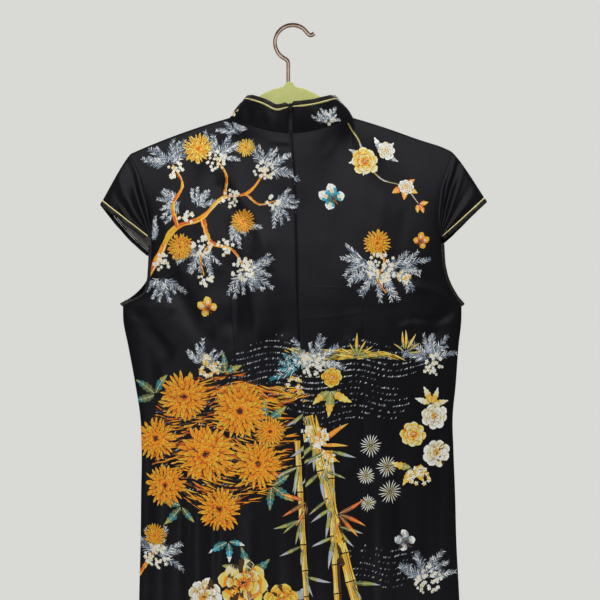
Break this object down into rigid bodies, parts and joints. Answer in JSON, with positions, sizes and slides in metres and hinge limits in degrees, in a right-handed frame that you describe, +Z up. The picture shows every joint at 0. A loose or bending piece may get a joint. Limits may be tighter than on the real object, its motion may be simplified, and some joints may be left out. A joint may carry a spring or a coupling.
{
  "type": "cheongsam dress on a clothes hanger",
  "caption": "Cap-sleeved cheongsam dress with a zipped back, stand collar, gold piping and side slits, hanging flat on a slim flocked clothes hanger with a metal hook.",
  "frame": {"origin": "inside top of the hanger's hook, where a rail or a nail holds it", "axes": "+Z up, the hook's plane is XZ, -Y is the dress's zipped back, +Y its front, +X the wearer's right when the back is seen"},
  "size_m": [0.5274, 0.0883, 1.1792],
  "materials": {
    "satin": "black satin with a printed pattern, soft sheen",
    "binding": "plain black satin bias strip",
    "piping": "gold satin cord",
    "zip_tape": "black woven tape",
    "zip_metal": "black enamel",
    "hanger": "sage green flock on moulded plastic",
    "hook": "rose gold plate"
  },
  "bodies": {
    "dress": {"back_left": "satin", "back_right": "satin", "front": "satin", "sleeve_left": "satin", "sleeve_right": "satin", "collar_left": "satin", "collar_right": "satin", "sleeve_piping_left": "piping", "sleeve_piping_right": "piping", "collar_piping_left": "piping", "collar_piping_right": "piping", "sleeve_binding_left": "binding", "sleeve_binding_right": "binding", "collar_binding_left": "binding", "collar_binding_right": "binding", "armhole_binding_left": "binding", "armhole_binding_right": "binding", "zip_tape": "zip_tape", "zip_slider": "zip_metal", "hanger_body": "hanger", "hanger_hook": "hook"},
    "pull": {"zip_pull": "zip_metal"}
  },
  "joints": [
    {"name": "pull_swing", "type": "hinge", "parent": "dress", "child": "pull", "pos_m": [-0.0027, -0.0492, -0.1286], "axis": [-1, 0, 0], "range_deg": [-5, 150]}
  ]
}
